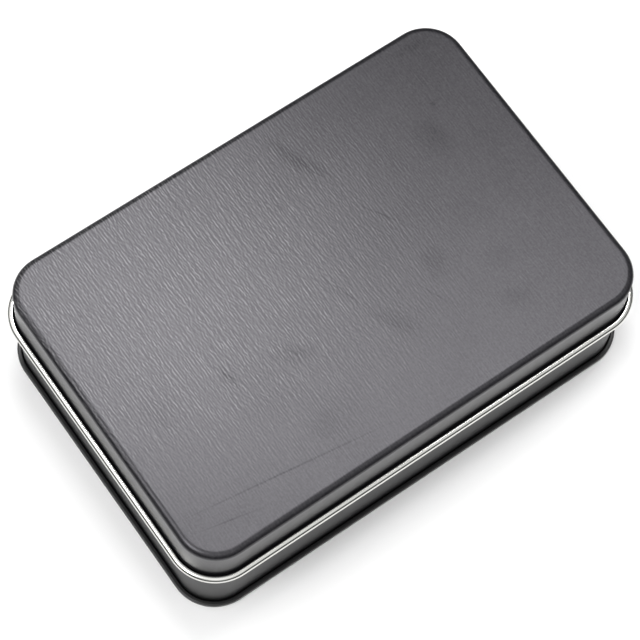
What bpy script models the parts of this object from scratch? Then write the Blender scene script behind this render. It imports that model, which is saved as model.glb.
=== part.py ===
"""Dice storage tin: a slip lid over a seamed tinplate body, with a die cut foam insert.

Units are metres, +Z is up, the long side runs along X and the short side along Y.
The origin is on the table, under the middle of the tin. The back, with the side seam, is at +Y.

Every sheet metal piece is the middle surface of its sheet, given its thickness by Solidify.
The middle surface is a profile carried round the tin. A profile point is (offset, height):
offset is how far the point lies outside the outer face of the lid's skirt.
"""

import math

import bmesh
import bpy

# Sheet and outline
SHEET = 0.00025  # tinplate thickness
LID_LENGTH = 0.1200  # over the lid's skirt
LID_WIDTH = 0.0811
CORNER_RADIUS = 0.0093  # of the lid's skirt, seen from above
TIN_HEIGHT = 0.0357

# Lid
LID_DEPTH = 0.01360  # from the top panel to the underside of the bead
LID_TOP_RADIUS = 0.0020
BEAD_RADIUS = 0.00110  # outer radius of the curled edge
BEAD_SWEEP = math.radians(305)

# Body
LID_FIT = 0.0002  # gap between the body and the skirt, on each side
SEAT_SHARE = 0.5  # gap over the rim as a share of the side gap
RIM_RADIUS = 0.00075  # outer radius of the rim's inward curl
RIM_SWEEP = math.radians(290)

# Double seam at the bottom
SEAM_HEIGHT = 0.0030
FOLD_GAP = 0.00025  # between neighbouring layers of the double seam
PANEL_RISE = 0.0032  # from the table to the underside of the bottom panel
PANEL_RADIUS = 0.0007  # middle of the sheet, panel to chuck wall
FOOT_RADIUS = 0.0005  # middle of the sheet, under the seam

# Lock seam up the middle of the back wall
LOCK_LAP = 0.0032  # length of the interlocked hooks
LOCK_GAP = 0.0001  # between its four layers
LOCK_MARGIN = 0.0010  # plain wall left above and below the hooks
TAB_GAP = 0.0002  # between the two ends of the rim and of the flange

# Foam
FOAM_FIT = 0.0003  # gap between the foam and the wall or the lock seam
FOAM_GAP = 0.00015  # between foam and what it lies on
BASE_FOAM = 0.0030
PAD_FOAM = 0.0050
PAD_CLEARANCE = 0.0010  # between the lid's pad and the body's rim
HEADROOM = 0.0055  # between the tray and the lid's pad, for the tops of the dice

# Pockets for a set of seven dice, evenly spaced over the tray
BACK_POCKETS = 4
FRONT_POCKETS = 3
FOUR_SIDED_RADIUS = 0.0132
SIX_SIDED_RADIUS = 0.0125
EIGHT_SIDED_WIDTH = 0.0190
EIGHT_SIDED_HEIGHT = 0.0250
TEN_SIDED_WIDTH = 0.0200
TEN_SIDED_HEIGHT = 0.0260
TEN_SIDED_SHOULDER_SHARE = 0.42  # widest place of the kite, measured down from its blunt end
TWELVE_SIDED_RADIUS = 0.0125
TWENTY_SIDED_RADIUS = 0.0135
CUT_OVERRUN = 0.0010  # how far a cutter runs past the foam

# Facets
CORNER_STEPS = 6
ARC_STEP = math.radians(22.5)
SMOOTH_ANGLE = math.radians(40)

# Directions in a profile: 0 is outwards and a quarter turn is up
OUTWARD = 0.0
UP = math.radians(90)
INWARD = math.radians(180)
DOWN = math.radians(270)
FULL_TURN = math.radians(360)

# Colours (linear) and finishes
LACQUER = (0.030, 0.029, 0.031, 1.0)
FOAM_COLOUR = (0.025, 0.025, 0.027, 1.0)
LACQUER_ROUGHNESS = 0.30
FOAM_ROUGHNESS = 0.95
LACQUER_METALLIC = 0.2


def new_collection(name):
    collection = bpy.data.collections.new(name)
    bpy.context.scene.collection.children.link(collection)
    return collection


def new_material(name, colour, roughness, metallic):
    material = bpy.data.materials.new(name)
    material.use_nodes = True
    shader = material.node_tree.nodes["Principled BSDF"]
    shader.inputs["Base Color"].default_value = colour
    shader.inputs["Roughness"].default_value = roughness
    shader.inputs["Metallic"].default_value = metallic
    material.diffuse_color = colour
    return material


def new_empty(name, location, parent):
    empty = bpy.data.objects.new(name, None)
    empty.empty_display_size = CORNER_RADIUS
    empty.location = location
    empty.parent = parent
    parts.objects.link(empty)
    return empty


def new_object(name, faces_maker, collection, parent=None):
    mesh = bpy.data.meshes.new(name)
    faces_maker.to_mesh(mesh)
    faces_maker.free()
    mesh.shade_smooth()
    mesh.set_sharp_from_angle(angle=SMOOTH_ANGLE)
    thing = bpy.data.objects.new(name, mesh)
    thing.parent = parent
    collection.objects.link(thing)
    return thing


def thicken(thing, thickness, side):
    """Gives a surface its thickness: side 0 puts the surface in the middle, 1 underneath."""
    solidify = thing.modifiers.new("thickness", "SOLIDIFY")
    solidify.thickness = thickness
    solidify.offset = side
    solidify.use_even_offset = True


def cut(thing, cutter):
    boolean = thing.modifiers.new("cut " + cutter.name, "BOOLEAN")
    boolean.operation = "DIFFERENCE"
    boolean.solver = "EXACT"
    boolean.object = cutter


def arc(across, along, radius, start, end):
    """Points on a circle about (across, along), from one angle to another."""
    steps = max(1, round(abs(end - start) / ARC_STEP))
    angles = [start + (end - start) * step / steps for step in range(steps + 1)]
    return [(across + radius * math.cos(a), along + radius * math.sin(a)) for a in angles]


def outline(offset):
    """The tin's plan outline, anticlockwise from its back left corner, grown by offset."""
    half_length = LID_LENGTH / 2 - CORNER_RADIUS
    half_width = LID_WIDTH / 2 - CORNER_RADIUS
    points = []
    for x, y, start in (
        (-half_length, half_width, UP),
        (-half_length, -half_width, INWARD),
        (half_length, -half_width, DOWN),
        (half_length, half_width, FULL_TURN),
    ):
        for step in range(CORNER_STEPS + 1):
            angle = start + UP * step / CORNER_STEPS
            radius = CORNER_RADIUS + offset
            points.append((x + radius * math.cos(angle), y + radius * math.sin(angle)))
    return points


def drawn_piece(name, profile, parent):
    """A piece drawn from one sheet: its first profile point is the edge of a flat panel."""
    maker = bmesh.new()
    rows = []
    for offset, height in profile:
        rows.append([maker.verts.new((x, y, height)) for x, y in outline(offset)])
    maker.faces.new(rows[0])
    for inner, outer in zip(rows, rows[1:]):
        for here, after in zip(range(len(inner)), [*range(1, len(inner)), 0]):
            maker.faces.new((inner[here], outer[here], outer[after], inner[after]))
    thing = new_object(name, maker, parts, parent)
    thicken(thing, SHEET, 0)
    return thing


def lid_shell(parent):
    """Drawn lid. Its edge is curled outwards and up, until it closes on the skirt."""
    bend = LID_TOP_RADIUS - SHEET / 2
    curl = BEAD_RADIUS - SHEET / 2
    skirt = -SHEET / 2
    profile = arc(-LID_TOP_RADIUS, LID_DEPTH - LID_TOP_RADIUS, bend, UP, OUTWARD)
    profile += arc(skirt + curl, BEAD_RADIUS, curl, INWARD, INWARD + BEAD_SWEEP)
    return drawn_piece("lid_shell", profile, parent)


def bottom_end(parent):
    """Bottom panel. Its edge goes down as the chuck wall, out under the body's flange as the
    foot, up as the seaming wall, and down again as the cover hook between flange and wall."""
    panel = PANEL_RISE + SHEET / 2
    chuck_wall = WALL - LAYER
    seaming_wall = WALL + LAYER * 3
    foot = SHEET / 2 + FOOT_RADIUS
    top_of_seam = SEAM_HEIGHT - SHEET / 2 - LAYER
    profile = arc(chuck_wall - PANEL_RADIUS, panel - PANEL_RADIUS, PANEL_RADIUS, UP, OUTWARD)
    profile += arc(chuck_wall + FOOT_RADIUS, foot, FOOT_RADIUS, INWARD, DOWN)
    profile += arc(seaming_wall - FOOT_RADIUS, foot, FOOT_RADIUS, DOWN, FULL_TURN)
    profile += arc(seaming_wall - LAYER, top_of_seam, LAYER, OUTWARD, INWARD)
    profile.append((WALL + LAYER, FLANGE_BEND))
    return drawn_piece("bottom_end", profile, parent)


def body_wall(parent):
    """A strip bent round into a wall. Its lower edge is the flange of the double seam, its
    upper edge is curled inwards, and its ends hook into each other inside the back wall."""
    top_of_seam = SEAM_HEIGHT - SHEET / 2 - LAYER
    hooks_from = PANEL_RISE + SHEET + LOCK_MARGIN
    hooks_to = RIM_CENTRE - RIM_RADIUS - LOCK_MARGIN
    flange = [(WALL + LAYER * 2, top_of_seam)]
    flange += arc(WALL + LAYER, FLANGE_BEND, LAYER, FULL_TURN, INWARD)
    plain_from = [(WALL, hooks_from - LOCK_MARGIN / 2)]
    hooks = [(WALL, hooks_from), (WALL, hooks_to)]
    plain_to = [(WALL, hooks_to + LOCK_MARGIN / 2)]
    curl = RIM_RADIUS - SHEET / 2
    rim = arc(WALL - curl, RIM_CENTRE, curl, OUTWARD, OUTWARD + RIM_SWEEP)
    profile = flange + plain_from + hooks + plain_to + rim
    first_hook_row = len(flange) + len(plain_from)

    # Layers of the lock seam, counted inwards from the wall. The first end fills layers
    # 0 and 2. The last end steps in behind it to layer 3 and turns back into layer 1.
    first_end = LOCK_LAP / 2
    step_in = first_end + LOCK_LAYER * 2
    last_end = step_in + LOCK_LAYER
    tab_end = first_end + SHEET + TAB_GAP
    first_hook = arc(first_end, LOCK_LAYER, LOCK_LAYER, -UP, UP)[1:]
    first_hook.append((-first_end, LOCK_LAYER * 2))
    last_hook = arc(last_end, LOCK_LAYER, LOCK_LAYER, -UP, -INWARD)[1:]
    last_hook += arc(first_end + LOCK_LAYER, LOCK_LAYER * 2, LOCK_LAYER, OUTWARD, UP)
    last_hook += arc(-first_end, LOCK_LAYER * 2, LOCK_LAYER, UP, DOWN)
    last_hook.append((first_end, LOCK_LAYER))

    maker = bmesh.new()
    rows = []
    for number, (offset, height) in enumerate(profile):
        back = LID_WIDTH / 2 + offset
        ring = [(first_end, back), *outline(offset), (last_end, back)]
        if number in (first_hook_row, first_hook_row + 1):
            before = [(x, back - depth) for x, depth in reversed(first_hook)]
            beyond = [(x, back - depth) for x, depth in last_hook]
            ring = before + ring + beyond
            main = slice(len(before), len(before) + len(ring) - len(before) - len(beyond))
        else:
            ring = [*ring, (tab_end, back)]
            main = slice(0, len(ring) - 1)
        points = [maker.verts.new((x, y, height)) for x, y in ring]
        rows.append((points, points[main]))
    for (lower, lower_main), (upper, upper_main) in zip(rows, rows[1:]):
        if len(lower) != len(upper):
            lower, upper = lower_main, upper_main
        for here in range(len(lower) - 1):
            maker.faces.new((lower[here], lower[here + 1], upper[here + 1], upper[here]))
    thing = new_object("body_wall", maker, parts, parent)
    thicken(thing, SHEET, 0)
    return thing


def prism(name, points, low, high, collection):
    """A straight cutter: a flat outline pushed up from one height to another."""
    maker = bmesh.new()
    face = maker.faces.new([maker.verts.new((x, y, low)) for x, y in points])
    pushed = bmesh.ops.extrude_face_region(maker, geom=[face])["geom"]
    moved = [item for item in pushed if isinstance(item, bmesh.types.BMVert)]
    bmesh.ops.translate(maker, verts=moved, vec=(0, 0, high - low))
    bmesh.ops.recalc_face_normals(maker, faces=maker.faces)
    thing = new_object(name, maker, collection)
    thing.hide_render = True
    thing.display_type = "WIRE"
    return thing


def foam_sheet(name, offset, low, thickness, parent):
    """A flat piece of foam cut to the tin's outline, grown by offset."""
    maker = bmesh.new()
    maker.faces.new([maker.verts.new((x, y, low)) for x, y in outline(offset)])
    thing = new_object(name, maker, parts, parent)
    thicken(thing, thickness, 1)
    return thing


def polygon(centre, sides, radius, turn=0.0):
    """A regular polygon with one corner at the back, turned anticlockwise by turn."""
    x, y = centre
    angles = [UP + turn + FULL_TURN * corner / sides for corner in range(sides)]
    return [(x + radius * math.cos(a), y + radius * math.sin(a)) for a in angles]


def kite(centre, width, height, shoulder_share):
    """Four corners: blunt end at the back, shoulders at a share of the height below it."""
    x, y = centre
    back = y + height / 2
    shoulder = back - height * shoulder_share
    return [(x, back), (x - width / 2, shoulder), (x, back - height), (x + width / 2, shoulder)]


def pocket_row(count, pitch, y):
    """Centres of a row of pockets, the same distance apart and centred on the tin."""
    return [(pitch * (column - (count - 1) / 2), y) for column in range(count)]


def pocket_outlines(tray_length, tray_width):
    """Name and outline of each pocket."""
    pitch = tray_length / BACK_POCKETS
    back = pocket_row(BACK_POCKETS, pitch, tray_width / 4)
    front = pocket_row(FRONT_POCKETS, pitch, -tray_width / 4)
    triangle_drop = FOUR_SIDED_RADIUS / 4
    back[0] = (back[0][0], back[0][1] - triangle_drop)
    ten_sided = (TEN_SIDED_WIDTH, TEN_SIDED_HEIGHT, TEN_SIDED_SHOULDER_SHARE)
    return {
        "four_sided_pocket": polygon(back[0], 3, FOUR_SIDED_RADIUS),
        "six_sided_pocket": polygon(back[1], 4, SIX_SIDED_RADIUS, UP / 2),
        "eight_sided_pocket": kite(back[2], EIGHT_SIDED_WIDTH, EIGHT_SIDED_HEIGHT, 1 / 2),
        "ten_sided_pocket": kite(back[3], *ten_sided),
        "tens_pocket": kite(front[0], *ten_sided),
        "twenty_sided_pocket": polygon(front[1], 6, TWENTY_SIDED_RADIUS),
        "twelve_sided_pocket": polygon(front[2], 10, TWELVE_SIDED_RADIUS),
    }


def insert(parent):
    """Foam base and foam tray. Both are notched for the lock seam, and the tray has a
    pocket right through it for each die."""
    edge = WALL - SHEET / 2 - FOAM_FIT
    base_low = PANEL_RISE + SHEET + FOAM_GAP
    tray_low = base_low + BASE_FOAM + FOAM_GAP
    tray_high = TIN_HEIGHT - SHEET - FOAM_GAP - PAD_FOAM - HEADROOM
    base = foam_sheet("foam_base", edge, base_low, BASE_FOAM, parent)
    tray = foam_sheet("foam_tray", edge, tray_low, tray_high - tray_low, parent)

    back = LID_WIDTH / 2 + WALL
    left = -LOCK_LAP / 2 - LOCK_LAYER - SHEET / 2 - FOAM_FIT
    right = LOCK_LAP / 2 + LOCK_LAYER * 3 + FOAM_FIT
    front = back - LOCK_LAYER * 3 - SHEET / 2 - FOAM_FIT
    notch = [(left, back), (left, front), (right, front), (right, back)]
    notch_low = base_low - CUT_OVERRUN
    notch_high = tray_high + CUT_OVERRUN
    notch_cutter = prism("lock_seam_notch", notch, notch_low, notch_high, cutters)
    cut(base, notch_cutter)
    cut(tray, notch_cutter)
    pockets = pocket_outlines(LID_LENGTH + edge * 2, LID_WIDTH + edge * 2)
    for name, points in pockets.items():
        low = tray_low - CUT_OVERRUN
        cut(tray, prism(name, points, low, tray_high + CUT_OVERRUN, cutters))
    return [base, tray]


def lid_pad(parent):
    """Foam glued under the lid's panel, narrow enough to pass inside the body's rim."""
    inside_rim = -SHEET - LID_FIT - RIM_RADIUS * 2
    edge = min(inside_rim, -LID_TOP_RADIUS) - PAD_CLEARANCE
    low = LID_DEPTH - SHEET - FOAM_GAP - PAD_FOAM
    return foam_sheet("lid_pad", edge, low, PAD_FOAM, parent)


def rim_centre():
    """Height of the centre of the rim's curl, where the rim comes closest to the lid: at the
    lid's top radius, or at its panel if the curl is the rounder of the two."""
    inner_radius = LID_TOP_RADIUS - SHEET
    reach = inner_radius - RIM_RADIUS - LID_FIT * SEAT_SHARE
    side = max(inner_radius - RIM_RADIUS - LID_FIT, 0)
    rise = math.sqrt(reach**2 - side**2) if reach > side else reach
    return TIN_HEIGHT - LID_TOP_RADIUS + rise


for old in list(bpy.data.objects):
    bpy.data.objects.remove(old)

# Middle of the body's sheet, and the spacing of the folded layers
WALL = -SHEET - LID_FIT - SHEET / 2
LAYER = SHEET + FOLD_GAP
LOCK_LAYER = SHEET + LOCK_GAP
FLANGE_BEND = SHEET / 2 + LAYER * 2
RIM_CENTRE = rim_centre()

parts = new_collection("dice_storage_tin")
cutters = new_collection("cutters")

tin = new_empty("tin", (0, 0, 0), None)
lid_lift = new_empty("lid_lift", (0, 0, TIN_HEIGHT - LID_DEPTH), tin)

metal_pieces = [lid_shell(lid_lift), body_wall(tin), bottom_end(tin)]
foam_pieces = [*insert(tin), lid_pad(lid_lift)]

for piece in metal_pieces:
    lacquer = new_material(piece.name + " lacquer", LACQUER, LACQUER_ROUGHNESS, LACQUER_METALLIC)
    piece.data.materials.append(lacquer)
for piece in foam_pieces:
    foam = new_material(piece.name + " foam", FOAM_COLOUR, FOAM_ROUGHNESS, 0)
    piece.data.materials.append(foam)
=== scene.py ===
"""Looks for the dice storage tin: a slip lid over a seamed tinplate body, with a foam insert.

Units are metres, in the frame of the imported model. Sections follow the order of assembly.
"""

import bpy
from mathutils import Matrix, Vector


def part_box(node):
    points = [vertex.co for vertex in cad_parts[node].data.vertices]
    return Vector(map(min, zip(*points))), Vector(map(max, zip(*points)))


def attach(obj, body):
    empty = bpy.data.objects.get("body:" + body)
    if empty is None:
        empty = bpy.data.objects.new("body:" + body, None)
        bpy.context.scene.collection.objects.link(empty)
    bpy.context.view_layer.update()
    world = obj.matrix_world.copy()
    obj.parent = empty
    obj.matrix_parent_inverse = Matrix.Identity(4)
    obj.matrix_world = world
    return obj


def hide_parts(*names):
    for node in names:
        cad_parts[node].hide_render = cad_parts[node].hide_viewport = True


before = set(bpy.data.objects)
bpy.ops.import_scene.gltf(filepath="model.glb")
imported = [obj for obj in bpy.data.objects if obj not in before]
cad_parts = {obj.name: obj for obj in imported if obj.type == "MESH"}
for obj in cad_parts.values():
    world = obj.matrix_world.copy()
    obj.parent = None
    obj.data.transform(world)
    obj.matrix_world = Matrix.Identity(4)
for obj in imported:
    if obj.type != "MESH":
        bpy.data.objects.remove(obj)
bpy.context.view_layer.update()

import math

import bmesh
import bpy
import numpy as np
from mathutils import Matrix, Vector

# Camera, table and light. The tin stands on a matt white table and is seen from high above
# its front left corner, under softboxes and a sky of broad glows. The table further away and
# the horizon are dark in reflections, which draws the black lines along the bends.
CAMERA_AZIMUTH = math.radians(-42.22)
CAMERA_ELEVATION = math.radians(68.05)
CAMERA_ROLL = math.radians(7.57)
CAMERA_DISTANCE = 0.5966
AIM_RIGHT = -0.0001  # where the camera aims, from the middle of the tin's foot
AIM_UP = 0.00447
FRAME_PIXELS = 640
FOCAL_PIXELS = 2550
FILM_WIDTH = 36  # millimetres, as Blender gives lens lengths
NEAREST_SEEN = 0.01

TABLE_SIZE = 6.0
TABLE_DROP = 0.00005  # gap under the tin, so that two faces never lie in one place
TABLE_COLOUR = "#ebebeb"
FAR_TABLE_COLOUR = "#202020"  # in reflections only
TABLE_FADE = (0.10, 0.22)  # distances from the tin's middle between which it gets so dark
BACKDROP_COLOUR = "#ffffff"
SOFTBOXES = (  # place, width and height, radiance
    ((0.060, 0.220, 0.620), (0.16, 0.16), 16.8),
    ((0.220, 0.060, 0.620), (0.16, 0.16), 11.2),
    ((0.060, 0.060, 0.620), (0.16, 0.16), 2.5),
)
FILL = ((0.600, 0.060, 0.300), (0.40, 0.40), 3.0)  # lightens the table, and isn't reflected
SKY_GLOWS = (  # direction, sharpness, radiance
    ((0.000, 0.000, 1.000), 8, 0.6),
    ((-0.643, 0.000, 0.766), 50, 14.0),
    ((-0.500, 0.500, 0.707), 8, 1.6),
    ((0.500, -0.500, 0.707), 8, 0.8),
    ((-0.330, -0.560, 0.760), 8, 1.3),
)
SKY_LEAST = 0.02
DARK_HORIZON = 0.35  # height on a sky of radius 1 at which the glows have their whole strength
MERGE_DISTANCE = 1e-6


def linear(hex_colour):
    """Turns an sRGB hex colour into the linear colour that shaders take."""
    srgb = np.array([int(hex_colour[i : i + 2], 16) for i in (1, 3, 5)]) / 255
    return (*np.where(srgb > 0.04045, ((srgb + 0.055) / 1.055) ** 2.4, srgb / 12.92), 1.0)


def add(tree, kind, inputs=None, **settings):
    """Adds one node. Each input is a value or another node's output, by socket name or number."""
    node = tree.nodes.new(kind)
    for name, value in settings.items():
        setattr(node, name, value)
    for name, value in (inputs or {}).items():
        if isinstance(value, bpy.types.NodeSocket):
            tree.links.new(value, node.inputs[name])
        else:
            node.inputs[name].default_value = value
    return node


def new_material(name):
    """A material without nodes, and its node tree."""
    material = bpy.data.materials.new(name)
    material.use_nodes = True
    material.node_tree.nodes.clear()
    return material, material.node_tree


def add_surface(name, grids, flipped=False):
    """Joins grids of points into one mesh. A grid holds rows of points, and each of its cells
    is a face. Points in the same place are merged, which closes seams and poles."""
    points = np.concatenate([grid.reshape(-1, 3) for grid in grids])
    quads, first = [], 0
    for rows, columns in (grid.shape[:2] for grid in grids):
        number = first + np.arange(rows * columns).reshape(rows, columns)
        cell = (number[:-1, :-1], number[1:, :-1], number[1:, 1:], number[:-1, 1:])
        quads.append(np.stack(cell[::-1] if flipped else cell, 2).reshape(-1, 4))
        first += rows * columns
    mesh = bpy.data.meshes.new(name)
    mesh.from_pydata(points, [], np.concatenate(quads))
    maker = bmesh.new()
    maker.from_mesh(mesh)
    bmesh.ops.remove_doubles(maker, verts=maker.verts, dist=MERGE_DISTANCE)
    maker.to_mesh(mesh)
    maker.free()
    thing = bpy.data.objects.new(name, mesh)
    bpy.context.scene.collection.objects.link(thing)
    return thing


def add_softbox(name, place, size, radiance, reflected=True):
    """A soft light aimed at the tin. The camera doesn't see it, but glossy things may."""
    light = bpy.data.lights.new(name, "AREA")
    light.shape = "RECTANGLE"
    light.size, light.size_y = size
    light.energy = radiance * math.pi * size[0] * size[1]
    lamp = bpy.data.objects.new(name, light)
    lamp.location = place
    lamp.rotation_euler = (-Vector(place)).to_track_quat("-Z", "Y").to_euler()
    lamp.visible_camera = False
    lamp.visible_glossy = reflected
    bpy.context.scene.collection.objects.link(lamp)


azimuth_turn = Vector((math.sin(CAMERA_AZIMUTH), -math.cos(CAMERA_AZIMUTH), 0))
back = azimuth_turn * math.cos(CAMERA_ELEVATION) + Vector((0, 0, math.sin(CAMERA_ELEVATION)))
level_right = Vector((0, 0, 1)).cross(back).normalized()
level_up = back.cross(level_right)
right = level_right * math.cos(CAMERA_ROLL) + level_up * math.sin(CAMERA_ROLL)
up = back.cross(right)
place = back * CAMERA_DISTANCE + level_right * AIM_RIGHT + level_up * AIM_UP
camera_data = bpy.data.cameras.new("camera")
camera_data.sensor_width = FILM_WIDTH
camera_data.lens = FOCAL_PIXELS / FRAME_PIXELS * FILM_WIDTH
camera_data.clip_start = NEAREST_SEEN
camera = bpy.data.objects.new("camera", camera_data)
camera.matrix_world = Matrix.Translation(place) @ Matrix((right, up, back)).transposed().to_4x4()
bpy.context.scene.collection.objects.link(camera)
bpy.context.scene.camera = camera
bpy.context.scene.view_settings.view_transform = "Standard"

half_table = TABLE_SIZE / 2
table_edges = (-half_table, half_table)
table_rows = [[(x, y, -TABLE_DROP) for y in table_edges] for x in table_edges]
table = add_surface("table", [np.array(table_rows)])
table_paint, tree = new_material("matt white table")
away = add(tree, "ShaderNodeTexCoord").outputs["Object"]
away = add(tree, "ShaderNodeVectorMath", {0: away}, operation="LENGTH").outputs["Value"]
away = {"Value": away, "From Min": TABLE_FADE[0], "From Max": TABLE_FADE[1]}
away = add(tree, "ShaderNodeMapRange", away, interpolation_type="SMOOTHSTEP").outputs[0]
mirrored = add(tree, "ShaderNodeLightPath").outputs["Is Glossy Ray"]
away = add(tree, "ShaderNodeMath", {0: away, 1: mirrored}, operation="MULTIPLY").outputs[0]
# Sockets 6 and 7 of a mix node take its two colours, and output 2 gives the mixed one
paint = {0: away, 6: linear(TABLE_COLOUR), 7: linear(FAR_TABLE_COLOUR)}
paint = add(tree, "ShaderNodeMix", paint, data_type="RGBA").outputs[2]
paint = add(tree, "ShaderNodeBsdfDiffuse", {"Color": paint}).outputs[0]
add(tree, "ShaderNodeOutputMaterial", {"Surface": paint})
table.data.materials.append(table_paint)

for number, softbox in enumerate(SOFTBOXES):
    add_softbox(f"softbox_{number}", *softbox)
add_softbox("fill", *FILL, reflected=False)

# The rest of the light comes from a sky of broad glows: each is a power of the cosine of the
# angle from its own direction, and all fade out towards the horizon. The camera itself sees
# a white backdrop.
world = bpy.data.worlds.new("studio")
bpy.context.scene.world = world
world.use_nodes = True
tree = world.node_tree
tree.nodes.clear()
sight = add(tree, "ShaderNodeTexCoord").outputs["Generated"]
radiance = 0.0
for direction, sharpness, strength in SKY_GLOWS:
    near = {0: sight, 1: direction}
    near = add(tree, "ShaderNodeVectorMath", near, operation="DOT_PRODUCT").outputs["Value"]
    near = add(tree, "ShaderNodeMath", {0: near, 1: 0.0}, operation="MAXIMUM").outputs[0]
    near = add(tree, "ShaderNodeMath", {0: near, 1: sharpness}, operation="POWER").outputs[0]
    glow = {0: near, 1: strength, 2: radiance}
    radiance = add(tree, "ShaderNodeMath", glow, operation="MULTIPLY_ADD").outputs[0]
lift = add(tree, "ShaderNodeSeparateXYZ", {0: sight}).outputs["Z"]
lift = {"Value": lift, "From Max": DARK_HORIZON}
lift = add(tree, "ShaderNodeMapRange", lift, interpolation_type="SMOOTHSTEP").outputs[0]
radiance = {0: radiance, 1: lift, 2: SKY_LEAST}
radiance = add(tree, "ShaderNodeMath", radiance, operation="MULTIPLY_ADD").outputs[0]
sky = add(tree, "ShaderNodeBackground", {"Color": linear(BACKDROP_COLOUR), "Strength": radiance})
backdrop = add(tree, "ShaderNodeBackground", {"Color": linear(BACKDROP_COLOUR)})
seen = add(tree, "ShaderNodeLightPath").outputs["Is Camera Ray"]
mixed = add(tree, "ShaderNodeMixShader", {0: seen, 1: sky.outputs[0], 2: backdrop.outputs[0]})
add(tree, "ShaderNodeOutputWorld", {"Surface": mixed.outputs[0]})

# Body wall. One strip of tinplate, lacquered black outside and bare inside, bent round with
# its ends hooked together in a lock seam inside the back. The foot is flanged outwards into
# the double seam, and the top edge is curled inwards.
SHEET = 0.00025  # tinplate thickness
CORNER_RADIUS = 0.0095  # of the lid's skirt, seen from above, which all offsets start from
BEAD_RADIUS = 0.00100  # of the lid's curl, which sets how far the lid reaches past its skirt
LID_FIT = 0.0002  # gap between the body's wall and the lid's skirt
RIM_RADIUS = 0.00075
RIM_SWEEP = math.radians(290)
PANEL_RISE = 0.0032  # of the bottom end's panel above the table
SEAM_HEIGHT = 0.0017  # of the double seam
FOLD_GAP = 0.00018  # between the double seam's layers
LOCK_LAP = 0.0032  # width over which the lock seam's hooks hold each other
LOCK_GAP = 0.0001  # between the lock seam's layers
LOCK_MARGIN = 0.0003  # between the hooks and the bottom panel or the rim
LOCK_NOTCH = 0.0001  # height over which the hooks give way to plain wall
TAB_GAP = 0.00003  # between the butted ends above and below the hooks
CORNER_STEPS = 24
RUN_STEPS = 10
ARC_STEP = math.radians(8)
SHARP_ANGLE = math.radians(38)
OUTWARD, UP, INWARD, DOWN, FULL_TURN = np.radians((0, 90, 180, 270, 360))

LACQUER_COLOUR = "#0f0f10"
LACQUER_ROUGHNESS = 0.40
LACQUER_IOR = 1.5
PEEL_SCALE = 700  # bumps in a metre of the lacquer, which makes them 1.4 mm across
PEEL_STRENGTH = 0.02
PEEL_DEPTH = 0.0002
TINPLATE_COLOUR = "#d6d6d2"
TINPLATE_ROUGHNESS = (0.112, 0.182)  # between and along the rolling lines
ROLL_MARK_PITCH = 0.0009  # across the sheet's rolling lines, three times as coarse as real
ROLL_MARK_LENGTH = 0.0300


def arc(across, along, radius, start, end, step=ARC_STEP):
    """Points on a circle about (across, along), from one angle to another."""
    angles = np.linspace(start, end, max(1, round(abs(end - start) / step)) + 1)
    return np.column_stack((across + radius * np.cos(angles), along + radius * np.sin(angles)))


def run(start, end, steps=RUN_STEPS):
    """Points between two ends of a straight stretch, closest together near its ends: shares
    are the squared sines of even angles, which keeps the shading of the stretch flat."""
    shares = np.sin(UP * np.arange(1, steps) / steps)[:, None] ** 2
    return start + (np.asarray(end) - start) * shares


def rounded_path(corners, radii, corner_steps=CORNER_STEPS, run_steps=RUN_STEPS):
    """Points and outward directions round a polygon with rounded corners. An arc's centre
    lies on its corner's bisector, inside where the outline turns left and outside where it
    turns right. The arc turns from the outward direction of one side to that of the next,
    and straight stretches join the arcs."""
    sides = np.roll(corners, -1, 0) - corners
    facing = np.column_stack((sides[:, 1], -sides[:, 0])) / np.hypot(*sides.T)[:, None]
    before = np.roll(facing, 1, 0)
    start = np.arctan2(before[:, 1], before[:, 0])
    turn = (np.arctan2(facing[:, 1], facing[:, 0]) - start + INWARD) % FULL_TURN - INWARD
    signed = (np.sign(turn) * radii)[:, None]
    centres = corners - signed * (before + facing) / (1 + (before * facing).sum(1))[:, None]
    angles = start[:, None] + turn[:, None] * np.linspace(0, 1, corner_steps + 1)
    directions = np.stack((np.cos(angles), np.sin(angles)), 2)
    arcs = centres[:, None] + signed[:, None] * directions
    shares = np.sin(UP * np.arange(1, run_steps) / run_steps)[None, :, None] ** 2
    runs = arcs[:, -1:] + (np.roll(arcs[:, :1], -1, 0) - arcs[:, -1:]) * shares
    points = np.concatenate((arcs, runs), 1).reshape(-1, 2)
    along_runs = np.repeat(directions[:, -1:], run_steps - 1, 1)
    return points, np.concatenate((directions, along_runs), 1).reshape(-1, 2)


def carried(profile, points, outward):
    """Carries a profile of (offset, height) along a path: each path point is moved along its
    outward direction by the offset, and up to the height."""
    profile = np.asarray(profile)
    plan = points + profile[:, 0, None, None] * outward
    heights = np.broadcast_to(profile[:, 1, None, None], (*plan.shape[:2], 1))
    return np.concatenate((plan, heights), 2)


def closed(grid):
    """A grid whose rows run right round: the first column again after the last."""
    return np.concatenate((grid, grid[:, :1]), 1)


def apply_modifiers(thing):
    """Makes the modified shape the piece's own mesh, smooth but for its real edges."""
    bpy.context.view_layer.update()
    evaluated = thing.evaluated_get(bpy.context.evaluated_depsgraph_get())
    mesh = bpy.data.meshes.new_from_object(evaluated)
    thing.modifiers.clear()
    thing.data = mesh
    mesh.name = thing.name
    mesh.shade_smooth()
    mesh.set_sharp_from_angle(angle=SHARP_ANGLE)


def thicken(thing, outside, inside):
    """Gives the middle surface of a sheet its thickness: one finish outside, one inside."""
    thing.data.materials.append(outside)
    thing.data.materials.append(inside)
    solidify = thing.modifiers.new("thickness", "SOLIDIFY")
    solidify.thickness = SHEET
    solidify.offset = 0
    solidify.use_even_offset = True
    solidify.material_offset = 1
    solidify.material_offset_rim = 1
    apply_modifiers(thing)


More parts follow.
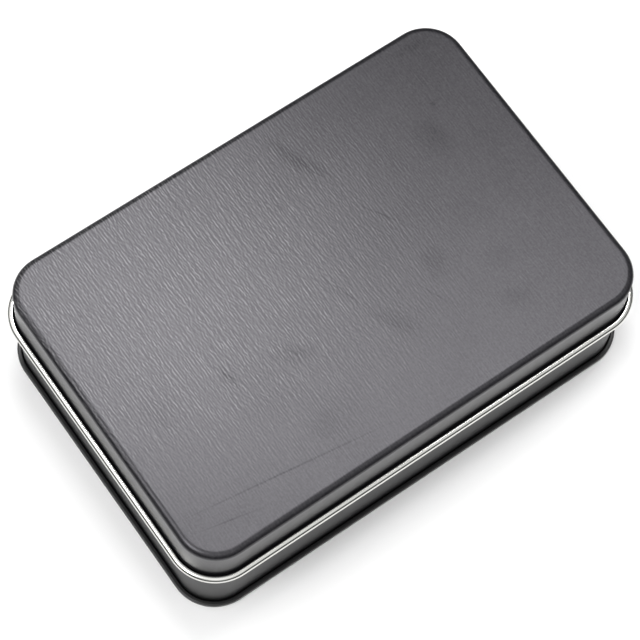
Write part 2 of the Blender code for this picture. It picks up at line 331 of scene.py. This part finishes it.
def satin_lacquer(name):
    """Stoved black lacquer: a satin sheen over near black, with the slight unevenness that a
    roller coat leaves."""
    material, tree = new_material(name)
    place = add(tree, "ShaderNodeTexCoord").outputs["Object"]
    peel = {"Vector": place, "Scale": PEEL_SCALE, "Detail": 2}
    peel = add(tree, "ShaderNodeTexNoise", peel).outputs[0]
    bump = {"Height": peel, "Strength": PEEL_STRENGTH, "Distance": PEEL_DEPTH}
    inputs = {
        "Base Color": linear(LACQUER_COLOUR),
        "Roughness": LACQUER_ROUGHNESS,
        "IOR": LACQUER_IOR,
        "Normal": add(tree, "ShaderNodeBump", bump).outputs[0],
    }
    shader = add(tree, "ShaderNodeBsdfPrincipled", inputs).outputs[0]
    add(tree, "ShaderNodeOutputMaterial", {"Surface": shader})
    return material


def bare_tinplate(name):
    """Bright electrolytic tinplate: a grey white metal, polished, with faint rolling lines."""
    material, tree = new_material(name)
    place = add(tree, "ShaderNodeTexCoord").outputs["Object"]
    scale = (1 / ROLL_MARK_PITCH, 1 / ROLL_MARK_LENGTH, 1 / ROLL_MARK_PITCH)
    stretched = add(tree, "ShaderNodeMapping", {"Vector": place, "Scale": scale}).outputs[0]
    lines = {"Vector": stretched, "Scale": 1, "Detail": 3}
    lines = add(tree, "ShaderNodeTexNoise", lines).outputs[0]
    smoothest, roughest = TINPLATE_ROUGHNESS
    rough = {"Value": lines, "To Min": smoothest, "To Max": roughest}
    inputs = {
        "Base Color": linear(TINPLATE_COLOUR),
        "Metallic": 1.0,
        "Roughness": add(tree, "ShaderNodeMapRange", rough).outputs[0],
    }
    shader = add(tree, "ShaderNodeBsdfPrincipled", inputs).outputs[0]
    add(tree, "ShaderNodeOutputMaterial", {"Surface": shader})
    return material


lid_low, lid_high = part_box("lid_shell")
wall_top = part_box("body_wall")[1].z
bead_reach = BEAD_RADIUS * 2 - SHEET
half_length = lid_high.x - bead_reach
half_width = lid_high.y - bead_reach
WALL = -SHEET - LID_FIT - SHEET / 2  # middle of the body's sheet
LAYER = SHEET + FOLD_GAP
LOCK_LAYER = SHEET + LOCK_GAP
corners = np.array([(-1, 1), (-1, -1), (1, -1), (1, 1)]) * (half_length, half_width)
path, facing = rounded_path(corners, CORNER_RADIUS)

flange_bend = SHEET / 2 + LAYER * 2
rim_centre = wall_top - RIM_RADIUS
curl = RIM_RADIUS - SHEET / 2
hooks_from = PANEL_RISE + SHEET + LOCK_MARGIN
hooks_to = rim_centre - RIM_RADIUS - LOCK_MARGIN
plain_from = hooks_from - LOCK_NOTCH
plain_to = hooks_to + LOCK_NOTCH
first_end = LOCK_LAP / 2
step_in = first_end + LOCK_LAYER * 2
last_end = step_in + LOCK_LAYER
tab_end = first_end + TAB_GAP

# The strip's path starts at the lock seam in the back, goes round by the left and ends there
back_line = half_width
around, around_facing = path[: 1 - RUN_STEPS], facing[: 1 - RUN_STEPS]
starts = np.array([(first_end, back_line)])
ends = np.array([(last_end, back_line)])
to_corner = run(starts[0], around[0])
from_corner = run(around[-1], ends[0])
strip = np.concatenate((starts, to_corner, around, from_corner, ends))
straight_back = np.array([(0.0, 1.0)])
strip_facing = np.concatenate((
    np.repeat(straight_back, 1 + len(to_corner), 0),
    around_facing,
    np.repeat(straight_back, 1 + len(from_corner), 0),
))
tabbed = np.concatenate((strip, [(tab_end, back_line)]))
tabbed_facing = np.concatenate((strip_facing, straight_back))

# Hooks of the lock seam as (x, depth inwards): the first end fills layers 0 and 2, and the
# last end steps in behind it to layer 3 and turns back into layer 1
first_hook = arc(first_end, LOCK_LAYER, LOCK_LAYER, -UP, UP)[1:]
first_hook = np.concatenate((first_hook, [(-first_end, LOCK_LAYER * 2)]))[::-1]
last_hook = np.concatenate((
    arc(last_end, LOCK_LAYER, LOCK_LAYER, -UP, -INWARD)[1:],
    arc(first_end + LOCK_LAYER, LOCK_LAYER * 2, LOCK_LAYER, OUTWARD, UP),
    arc(-first_end, LOCK_LAYER * 2, LOCK_LAYER, UP, DOWN),
    [(first_end, LOCK_LAYER)],
))


def seam_points(hook):
    """A hook's points placed on the middle of the back wall's sheet."""
    return np.column_stack((hook[:, 0], back_line + WALL - hook[:, 1]))


flange = np.concatenate((
    [(WALL + LAYER * 2, SEAM_HEIGHT - SHEET / 2 - LAYER)],
    arc(WALL + LAYER, flange_bend, LAYER, FULL_TURN, INWARD),
    run((WALL, flange_bend), (WALL, plain_from)),
    [(WALL, plain_from)],
))
rim = np.concatenate((
    [(WALL, plain_to)],
    arc(WALL - curl, rim_centre, curl, OUTWARD, OUTWARD + RIM_SWEEP),
))
hooked_strip = (seam_points(first_hook), strip + WALL * strip_facing, seam_points(last_hook))
hooked_strip = np.concatenate(hooked_strip)
no_facing = np.zeros_like(hooked_strip)
wall_grids = [
    carried(flange, tabbed, tabbed_facing),
    carried([(WALL, plain_from), (WALL, hooks_from)], strip, strip_facing),
    carried([(0, hooks_from), (0, hooks_to)], hooked_strip, no_facing),
    carried([(WALL, hooks_to), (WALL, plain_to)], strip, strip_facing),
    carried(rim, tabbed, tabbed_facing),
]
body_lacquer = satin_lacquer("satin black lacquer")
tinplate = bare_tinplate("bare tinplate")
body_wall = add_surface("body_wall_strip", wall_grids, flipped=True)
thicken(body_wall, body_lacquer, tinplate)
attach(body_wall, "tin")
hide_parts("body_wall")

# Bottom end. A panel pressed from lacquered tinplate, black side down. Its edge goes down as
# the chuck wall, out under the body's flange, up as the seaming wall, and down again as the
# cover hook, which the seaming rolls fold between the flange and the wall.
PANEL_RADIUS = 0.0007
FOOT_RADIUS = 0.0004
HOOK_RADIUS = 0.0002
PANEL_RINGS = 8


def panel_grid(edge, height, rings):
    """A flat panel from its middle to its edge: rows are the edge scaled towards the middle,
    closest together near the edge."""
    shares = np.sin(UP * np.arange(rings + 1) / rings)
    plan = shares[:, None, None] * edge
    return np.concatenate((plan, np.full((*plan.shape[:2], 1), height)), 2)


chuck_wall = WALL - LAYER
seaming_wall = WALL + LAYER * 3
foot = SHEET / 2 + FOOT_RADIUS
panel_height = PANEL_RISE + SHEET / 2
hook_top = SEAM_HEIGHT - SHEET / 2
end_profile = np.concatenate((
    arc(chuck_wall - PANEL_RADIUS, panel_height - PANEL_RADIUS, PANEL_RADIUS, UP, OUTWARD),
    arc(chuck_wall + FOOT_RADIUS, foot, FOOT_RADIUS, INWARD, DOWN),
    arc(seaming_wall - FOOT_RADIUS, foot, FOOT_RADIUS, DOWN, FULL_TURN),
    run((seaming_wall, foot), (seaming_wall, hook_top - HOOK_RADIUS)),
    arc(seaming_wall - HOOK_RADIUS, hook_top - HOOK_RADIUS, HOOK_RADIUS, OUTWARD, UP),
    arc(seaming_wall - LAYER * 2 + HOOK_RADIUS, hook_top - HOOK_RADIUS, HOOK_RADIUS, UP, INWARD),
    [(WALL + LAYER, flange_bend)],
))
end_edge = path + (chuck_wall - PANEL_RADIUS) * facing
end_grids = [
    closed(panel_grid(end_edge, panel_height, PANEL_RINGS)),
    closed(carried(end_profile, path, facing)),
]
bottom_end = add_surface("bottom_end_pressing", end_grids, flipped=True)
thicken(bottom_end, body_lacquer, tinplate)
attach(bottom_end, "tin")
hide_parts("bottom_end")

# Foam base. A sheet of black closed cell foam, die cut to the tin's outline with a notch for
# the lock seam, and laid loose on the bottom end. It is the floor of the dice pockets.
FOAM_FIT = 0.0003  # gap between the foam and the lock seam
FOAM_EDGE_RADIUS = 0.0003
FOAM_EDGE_STEP = math.radians(18)
FOAM_FLAT = 0.00015  # width of a flat ring that keeps the shading of the flat faces flat
NOTCH_RADIUS = 0.0005
CUT_ROWS = 12
# Foam colours: darker in each cell's pit as painted shade, paler on the rims between
FOAM_PIT_SHADE_COLOUR = "#101011"
FOAM_TIP_COLOUR = "#2c2c2f"
FOAM_ROUGHNESS = 0.95
FOAM_CELL = 0.0007  # such foam has cells of 0.3 to 1 mm
FOAM_WARP = 0.6  # waves to a cell, which bend the rows of cells by up to half a cell
FOAM_EDGES = (0.15, 0.75)  # distances from a cell's middle, in cells, over which it turns pale
FOAM_PATCH_SCALE = 90  # patches in a metre with more pale edges or fewer, so 11 mm across
FOAM_BUMP = 0.8
FOAM_DEPTH = 0.00025


def cut_face(low, high, waist):
    """Profile of a die cut edge, as (offset into the foam, height): rounded at both ends, and
    hollow between them by a half wave of depth waist, because the rule squeezes the foam."""
    radius, reach = FOAM_EDGE_RADIUS, FOAM_EDGE_RADIUS + FOAM_FLAT
    share = np.linspace(0, 1, CUT_ROWS + 1)[1:-1]
    heights = low + radius + (high - low - radius * 2) * share
    wall = np.column_stack((waist * np.sin(INWARD * share), heights))
    return np.concatenate((
        [(reach, low)],
        arc(radius, low + radius, radius, DOWN, INWARD, FOAM_EDGE_STEP),
        wall,
        arc(radius, high - radius, radius, INWARD, UP, FOAM_EDGE_STEP),
        [(reach, high)],
    ))


def add_foam(name, outline, holes, low, high, waist, foam):
    """A die cut piece of foam. The same edge profile is carried inwards of the outline and
    outwards of every hole, and triangles fill the flat faces between them."""
    edge = cut_face(low, high, waist)
    grids = [closed(carried(edge * (-1, 1), *outline))]
    grids += [closed(carried(edge, *hole)) for hole in holes]
    thing = add_surface(name, grids)
    maker = bmesh.new()
    maker.from_mesh(thing.data)
    rims = [rim for rim in maker.edges if rim.is_boundary]
    for level in (low, high):
        at_level = [rim for rim in rims if abs(rim.verts[0].co.z - level) < FOAM_FLAT]
        bmesh.ops.triangle_fill(maker, use_beauty=True, edges=at_level)
    bmesh.ops.recalc_face_normals(maker, faces=maker.faces)
    maker.to_mesh(thing.data)
    maker.free()
    thing.data.materials.append(foam)
    apply_modifiers(thing)
    return thing


def cut_foam(name):
    """Black closed cell polyethylene foam, sliced and die cut: matt, pitted where the blade opened
    its cells, with paler edges between them and painted shade darkening each pit."""
    material, tree = new_material(name)
    place = add(tree, "ShaderNodeTexCoord").outputs["Object"]
    bend = {"Vector": place, "Scale": FOAM_WARP / FOAM_CELL, "Detail": 1}
    bend = add(tree, "ShaderNodeTexNoise", bend).outputs["Color"]
    bend = {0: bend, 1: (FOAM_CELL / 2,) * 3, 2: place}
    bent = add(tree, "ShaderNodeVectorMath", bend, operation="MULTIPLY_ADD").outputs[0]
    cells = {"Vector": bent, "Scale": 1 / FOAM_CELL}
    cells = add(tree, "ShaderNodeTexVoronoi", cells).outputs["Distance"]
    patches = {"Vector": place, "Scale": FOAM_PATCH_SCALE, "Detail": 4}
    patches = add(tree, "ShaderNodeTexNoise", patches).outputs[0]
    # Painted shade: the colour darkens into each cell's pit, by the same distance that shapes the
    # bump, and is paler on the rims between, more or less so in random patches
    tips = {"Value": cells, "From Min": FOAM_EDGES[0], "From Max": FOAM_EDGES[1]}
    tips = add(tree, "ShaderNodeMapRange", tips).outputs[0]
    tips = add(tree, "ShaderNodeMath", {0: tips, 1: patches}, operation="MULTIPLY").outputs[0]
    colour = {0: tips, 6: linear(FOAM_PIT_SHADE_COLOUR), 7: linear(FOAM_TIP_COLOUR)}
    bump = {"Height": cells, "Strength": FOAM_BUMP, "Distance": FOAM_DEPTH}
    inputs = {
        "Base Color": add(tree, "ShaderNodeMix", colour, data_type="RGBA").outputs[2],
        "Roughness": FOAM_ROUGHNESS,
        "Normal": add(tree, "ShaderNodeBump", bump).outputs[0],
    }
    shader = add(tree, "ShaderNodeBsdfPrincipled", inputs).outputs[0]
    add(tree, "ShaderNodeOutputMaterial", {"Surface": shader})
    return material


base_low, base_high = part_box("foam_base")
foam_edge = base_high.x - half_length
notch_back = back_line + WALL
notch_left = -first_end - LOCK_LAYER - SHEET / 2 - FOAM_FIT
notch_right = first_end + LOCK_LAYER * 3 + FOAM_FIT
notch_front = notch_back - LOCK_LAYER * 3 - SHEET / 2 - FOAM_FIT
foam_corners = np.array([
    (-base_high.x, base_high.y),
    (-base_high.x, -base_high.y),
    (base_high.x, -base_high.y),
    (base_high.x, base_high.y),
    (notch_right, base_high.y),
    (notch_right, notch_front),
    (notch_left, notch_front),
    (notch_left, base_high.y),
])
foam_radii = np.repeat((CORNER_RADIUS + foam_edge, NOTCH_RADIUS), 4)
foam_outline = rounded_path(foam_corners, foam_radii)
foam = cut_foam("black polyethylene foam")
foam_base = add_foam("foam_base_sheet", foam_outline, [], base_low.z, base_high.z, 0, foam)
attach(foam_base, "tin")
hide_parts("foam_base")

# Foam tray. A thick block of the same foam on the base, with a pocket die cut right through
# for each die: triangle, square, rhombus and kite behind, and kite, hexagon and decagon in
# front. It is held by a light push fit in the tin.
BACK_POCKETS = 4
FRONT_POCKETS = 3
FOUR_SIDED_RADIUS = 0.0132
SIX_SIDED_RADIUS = 0.0125
EIGHT_SIDED = (0.0190, 0.0250)  # width and height
TEN_SIDED = (0.0200, 0.0260)
SHOULDER_SHARE = 0.42  # of the kite's length, from its blunt end to its widest place
TWELVE_SIDED_RADIUS = 0.0125
TWENTY_SIDED_RADIUS = 0.0135
POCKET_RADIUS = 0.0006
POCKET_STEPS = 8
POCKET_WAIST = 0.0004


def polygon(centre, sides, radius, turn=0.0):
    """Corners of a regular polygon: points on a circle at even angles, anticlockwise from the
    back."""
    angles = UP + turn + FULL_TURN * np.arange(sides) / sides
    return centre + radius * np.column_stack((np.cos(angles), np.sin(angles)))


def kite(centre, size, shoulder_share):
    """Corners of a kite, anticlockwise from the back. The two shoulders lie a share of its
    length from there."""
    side, end = size[0] / 2, size[1] / 2
    shoulder = end - size[1] * shoulder_share
    return centre + np.array([(0, end), (-side, shoulder), (0, -end), (side, shoulder)])


def pocket_row(count, pitch, depth):
    """Centres of a row of pockets along the tin, one pitch apart, with the row in the middle."""
    return np.array([(pitch * (i - (count - 1) / 2), depth) for i in range(count)])


tray_low, tray_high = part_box("foam_tray")
pitch = tray_high.x * 2 / BACK_POCKETS
behind = pocket_row(BACK_POCKETS, pitch, tray_high.y / 2)
before = pocket_row(FRONT_POCKETS, pitch, -tray_high.y / 2)
behind[0, 1] -= FOUR_SIDED_RADIUS / 4  # so that the triangle's depth lies evenly in its row
pockets = [
    polygon(behind[0], 3, FOUR_SIDED_RADIUS),
    polygon(behind[1], 4, SIX_SIDED_RADIUS, UP / 2),
    kite(behind[2], EIGHT_SIDED, 1 / 2),
    kite(behind[3], TEN_SIDED, SHOULDER_SHARE),
    kite(before[0], TEN_SIDED, SHOULDER_SHARE),
    polygon(before[1], 6, TWENTY_SIDED_RADIUS),
    polygon(before[2], 10, TWELVE_SIDED_RADIUS),
]
pocket_sizes = (POCKET_RADIUS, POCKET_STEPS, POCKET_STEPS)
pocket_outlines = [rounded_path(pocket, *pocket_sizes) for pocket in pockets]
tray_sizes = (tray_low.z, tray_high.z, POCKET_WAIST)
foam_tray = add_foam("foam_tray_block", foam_outline, pocket_outlines, *tray_sizes, foam)
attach(foam_tray, "tin")
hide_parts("foam_tray")

# Lid. Drawn from one sheet, black outside and bare inside. Its edge is curled outwards and
# up until it nearly closes on the skirt, so the bead shows the sheet's bare side. The panel
# was brushed along the short side before it was lacquered.
LID_TOP_RADIUS = 0.0017
LID_ARC_STEP = math.radians(5)
BEAD_SWEEP = math.radians(278)
LID_PANEL_RINGS = 14
PANEL_ROUGHNESS = 0.34
SKIRT_ROUGHNESS = 0.30
BEND_ROUGHNESS = 0.28  # where drawing has stretched and smoothed the lacquer
BEND_MIDDLE = 0.00102  # depth of the bend's middle below the top
BEND_FADE = (0.0004, 0.0010)  # heights from there between which the smoothness fades out
PANEL_COLOUR = "#100f13"
PANEL_GLOSS_COLOUR = "#fbf8ff"
PANEL_EDGE = (0.0009, 0.0001)  # depths below the top between which the grain fades in
GRAIN_PITCH = 0.00072  # real strokes are about a fifth of this, too fine for the render
GRAIN_WIDTH = 0.0008  # of a group of strokes
GRAIN_LENGTHS = ((0.0009, 0.5), (0.0045, 0.5))  # of short and long strokes, and their shares
GRAIN_TURN = math.radians(-2)
GRAIN_DEPTH = 0.000022
GRAIN_HIGHLIGHT_SPOT = (-0.0340, 0.0220, 0.0830, 0.0600, -25, 1.0)  # painted highlight: where the softboxes' highlight falls on the panel, the grain's strokes are painted pale
GRAIN_WHOLE = 0.8  # of the way from the spot's edge to its middle, where the grain is whole
GRAIN_LEAST = 0.08
# The strokes' pale colour is partly real grain and partly painted glint. With STROKE_MEAN it also
# paints a paler tone over the highlight spot, a painted highlight.
STROKE_AND_GLINT_COLOUR = "#606061"
STROKE_CONTRAST = (-1.1, 1.1)  # between the strokes and on them, about their mean
STROKE_MEAN = 0.16
STROKE_PATCH = 0.0014  # size of the patches in which the strokes are strong or weak
STROKE_LEAST = 0.3
STIPPLE_SIZE = 0.0005  # of pale specks, real ones of which are too fine for the render
STIPPLE_SHARE = 0.12
BLOTCH_SIZE = 0.014
BLOTCH_DULLNESS = 0.11
BLOTCH_HARSHNESS = 0.6  # strength of each finer wave, as a share of the coarser one's
NOISE_RANGE = {"From Min": 0.3, "From Max": 0.7}  # which holds nearly all of a noise's values
SMUDGES = (  # finger marks: place, half length, half width, turn in degrees, lost gloss
    (-0.0297, -0.0068, 0.0044, 0.0013, -78, 0.60),
    (-0.0150, -0.0105, 0.0056, 0.0028, -40, 0.34),
    (0.0118, 0.0275, 0.0100, 0.0027, -70, 0.38),
    (0.0405, 0.0150, 0.0070, 0.0048, -80, 0.26),
    (-0.0480, -0.0070, 0.0070, 0.0050, 80, 0.12),
    (0.0070, -0.0165, 0.0085, 0.0032, -60, 0.26),
    (0.0220, -0.0100, 0.0050, 0.0037, 40, 0.24),
    (0.0350, -0.0170, 0.0050, 0.0035, -20, 0.14),
    (0.0330, -0.0270, 0.0060, 0.0035, -20, 0.16),
    (-0.0190, -0.0280, 0.0055, 0.0040, 10, 0.12),
    (0.0505, 0.0355, 0.0060, 0.0018, -10, 0.20),
    (-0.0227, 0.0260, 0.0009, 0.0007, 0, 0.50),
    (0.0458, 0.0222, 0.0009, 0.0006, 10, 0.50),
)
SCRATCHES = (  # as for the finger marks
    (-0.0330, -0.0315, 0.0300, 0.00034, -8.2, 0.52),
    (-0.0490, -0.0337, 0.0080, 0.00030, -12, 0.42),
    (0.0195, 0.0062, 0.0085, 0.00034, -58, 0.40),
    (0.0015, -0.0040, 0.0080, 0.00034, -72, 0.40),
    (0.0065, -0.0175, 0.0085, 0.00034, -62, 0.40),
    (0.0182, -0.0165, 0.0060, 0.00032, -66, 0.38),
)


def dulled(tree, place, marks, height):
    """Gloss lost by marks, as the strongest of them at each place. A mark is an ellipsoid, in
    which the loss rises from none at its surface to all of the mark's own at its middle."""
    strongest = 0.0
    for x, y, long, wide, turn, loss in marks:
        spot = {
            "Vector": place,
            "Location": (x, y, height),
            "Rotation": (0, 0, math.radians(turn)),
            "Scale": (long, wide, long),
        }
        spot = add(tree, "ShaderNodeMapping", spot, vector_type="TEXTURE").outputs[0]
        spot = add(tree, "ShaderNodeTexGradient", {0: spot}, gradient_type="SPHERICAL")
        lost = {0: spot.outputs["Fac"], 1: loss}
        lost = add(tree, "ShaderNodeMath", lost, operation="MULTIPLY").outputs[0]
        strongest = {0: lost, 1: strongest}
        strongest = add(tree, "ShaderNodeMath", strongest, operation="MAXIMUM").outputs[0]
    return strongest


def brushed_lacquer(name, top):
    """Black lacquer thin enough to show the brushed sheet below it: satin, with pale strokes along
    the grain, and finger marks and scratches that have lost some gloss. The strokes are real grain,
    but they and a paler tone are painted in mostly within the spot where the softboxes' highlight
    falls, as painted highlight and glints. A share of metal in the lacquer's own near black takes
    gloss away and leaves the colour."""
    material, tree = new_material(name)
    place = add(tree, "ShaderNodeTexCoord").outputs["Object"]
    height = add(tree, "ShaderNodeSeparateXYZ", {0: place}).outputs["Z"]
    on_panel = {"Value": height, "From Min": top - PANEL_EDGE[0], "From Max": top - PANEL_EDGE[1]}
    on_panel = add(tree, "ShaderNodeMapRange", on_panel, interpolation_type="SMOOTHSTEP").outputs[0]

    strokes = 0.0
    for length, share in GRAIN_LENGTHS:
        scale = (1 / GRAIN_WIDTH, 1 / length, 1 / GRAIN_WIDTH)
        stretched = {"Vector": place, "Rotation": (0, 0, GRAIN_TURN), "Scale": scale}
        stretched = add(tree, "ShaderNodeMapping", stretched).outputs[0]
        waves = {
            "Vector": stretched,
            "Scale": 1,
            "Frequency": GRAIN_WIDTH / GRAIN_PITCH,
            "Anisotropy": 1.0,
            "Orientation": 0.0,
        }
        waves = add(tree, "ShaderNodeTexGabor", waves).outputs["Value"]
        layer = {0: waves, 1: share, 2: strokes}
        strokes = add(tree, "ShaderNodeMath", layer, operation="MULTIPLY_ADD").outputs[0]

    wander = {
        "Vector": place,
        "Scale": 1 / BLOTCH_SIZE,
        "Detail": 4,
        "Roughness": BLOTCH_HARSHNESS,
    }
    wander = add(tree, "ShaderNodeTexNoise", wander)
    blotches = {"Value": wander.outputs[0], **NOISE_RANGE, "To Max": BLOTCH_DULLNESS}
    blotches = add(tree, "ShaderNodeMapRange", blotches).outputs[0]
    # The outlines of the finger marks wander by up to a quarter of a blotch
    bent = {0: wander.outputs["Color"], 1: (-0.5, -0.5, -0.5)}
    bent = add(tree, "ShaderNodeVectorMath", bent, operation="ADD").outputs[0]
    bent = {0: bent, 1: (BLOTCH_SIZE / 2,) * 3, 2: place}
    bent = add(tree, "ShaderNodeVectorMath", bent, operation="MULTIPLY_ADD").outputs[0]
    smudged = dulled(tree, bent, SMUDGES, top)
    scratched = dulled(tree, place, SCRATCHES, top)
    marks = add(tree, "ShaderNodeMath", {0: smudged, 1: scratched}, operation="MAXIMUM").outputs[0]
    worn = add(tree, "ShaderNodeMath", {0: marks, 1: blotches}, operation="ADD").outputs[0]
    worn = add(tree, "ShaderNodeMath", {0: worn, 1: on_panel}, operation="MULTIPLY").outputs[0]

    # Painted highlight: the grain's pale strokes, and the paler mean tone under them, are painted
    # in within the spot where the softboxes' highlight falls on the panel, and they fade out away
    # from it. The grain's bump follows the same spot.
    thin = dulled(tree, place, [GRAIN_HIGHLIGHT_SPOT], top)
    thin = {"Value": thin, "From Max": GRAIN_WHOLE, "To Min": GRAIN_LEAST}
    thin = add(tree, "ShaderNodeMapRange", thin, interpolation_type="SMOOTHSTEP").outputs[0]
    depth = add(tree, "ShaderNodeMath", {0: thin, 1: on_panel}, operation="MULTIPLY").outputs[0]
    patchy = {"Vector": place, "Scale": 1 / STROKE_PATCH, "Detail": 2}
    patchy = add(tree, "ShaderNodeTexNoise", patchy).outputs[0]
    patchy = {"Value": patchy, **NOISE_RANGE, "To Min": STROKE_LEAST}
    patchy = add(tree, "ShaderNodeMapRange", patchy).outputs[0]
    least, most = STROKE_CONTRAST
    pale = {"Value": strokes, **NOISE_RANGE, "To Min": least, "To Max": most}
    pale = add(tree, "ShaderNodeMapRange", pale).outputs[0]
    pale = {0: pale, 1: patchy, 2: STROKE_MEAN}
    pale = add(tree, "ShaderNodeMath", pale, operation="MULTIPLY_ADD").outputs[0]
    pale = add(tree, "ShaderNodeMath", {0: pale, 1: depth}, operation="MULTIPLY").outputs[0]
    stipple = {"Vector": place, "Scale": 1 / STIPPLE_SIZE, "Detail": 2}
    stipple = add(tree, "ShaderNodeTexNoise", stipple).outputs[0]
    stipple = {"Value": stipple, **NOISE_RANGE, "To Max": STIPPLE_SHARE}
    stipple = add(tree, "ShaderNodeMapRange", stipple).outputs[0]
    pale = add(tree, "ShaderNodeMath", {0: pale, 1: stipple}, operation="ADD").outputs[0]
    colour = {0: pale, 6: linear(PANEL_COLOUR), 7: linear(STROKE_AND_GLINT_COLOUR)}
    bump = {"Height": strokes, "Strength": depth, "Distance": GRAIN_DEPTH}

    rough = {"Value": on_panel, "To Min": SKIRT_ROUGHNESS, "To Max": PANEL_ROUGHNESS}
    rough = add(tree, "ShaderNodeMapRange", rough).outputs[0]
    off_bend = {0: height, 1: top - BEND_MIDDLE}
    off_bend = add(tree, "ShaderNodeMath", off_bend, operation="SUBTRACT").outputs[0]
    off_bend = add(tree, "ShaderNodeMath", {0: off_bend}, operation="ABSOLUTE").outputs[0]
    rough = {
        "Value": off_bend,
        "From Min": BEND_FADE[0],
        "From Max": BEND_FADE[1],
        "To Min": BEND_ROUGHNESS,
        "To Max": rough,
    }
    rough = add(tree, "ShaderNodeMapRange", rough).outputs[0]
    inputs = {
        "Base Color": add(tree, "ShaderNodeMix", colour, data_type="RGBA").outputs[2],
        "Metallic": worn,
        "Roughness": rough,
        "IOR": LACQUER_IOR,
        "Specular Tint": linear(PANEL_GLOSS_COLOUR),
        "Normal": add(tree, "ShaderNodeBump", bump).outputs[0],
    }
    shader = add(tree, "ShaderNodeBsdfPrincipled", inputs).outputs[0]
    add(tree, "ShaderNodeOutputMaterial", {"Surface": shader})
    return material


lid_bend = LID_TOP_RADIUS - SHEET / 2
lid_curl = BEAD_RADIUS - SHEET / 2
skirt = -SHEET / 2
lid_top = lid_high.z - SHEET / 2
bead_centre = lid_low.z + BEAD_RADIUS
lid_profile = np.concatenate((
    arc(-LID_TOP_RADIUS, lid_high.z - LID_TOP_RADIUS, lid_bend, UP, OUTWARD, LID_ARC_STEP),
    run((skirt, lid_high.z - LID_TOP_RADIUS), (skirt, bead_centre)),
    arc(skirt + lid_curl, bead_centre, lid_curl, INWARD, INWARD + BEAD_SWEEP),
))
panel_edge = path - LID_TOP_RADIUS * facing
lid_grids = [
    closed(panel_grid(panel_edge, lid_top, LID_PANEL_RINGS)),
    closed(carried(lid_profile, path, facing)),
]
lid_shell = add_surface("lid_drawn_shell", lid_grids)
thicken(lid_shell, brushed_lacquer("brushed black lacquer", lid_high.z), tinplate)
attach(lid_shell, "lid")
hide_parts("lid_shell")

# Lid pad. A thinner sheet of the foam, glued under the lid's panel, small enough to pass
# inside the body's curled rim. It keeps the dice from rattling.
pad_low, pad_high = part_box("lid_pad")
pad_corners = np.array([(-1, 1), (-1, -1), (1, -1), (1, 1)]) * (pad_high.x, pad_high.y)
pad_outline = rounded_path(pad_corners, CORNER_RADIUS + pad_high.x - half_length)
lid_pad = add_foam("lid_pad_sheet", pad_outline, [], pad_low.z, pad_high.z, POCKET_WAIST, foam)
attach(lid_pad, "lid")
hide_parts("lid_pad")
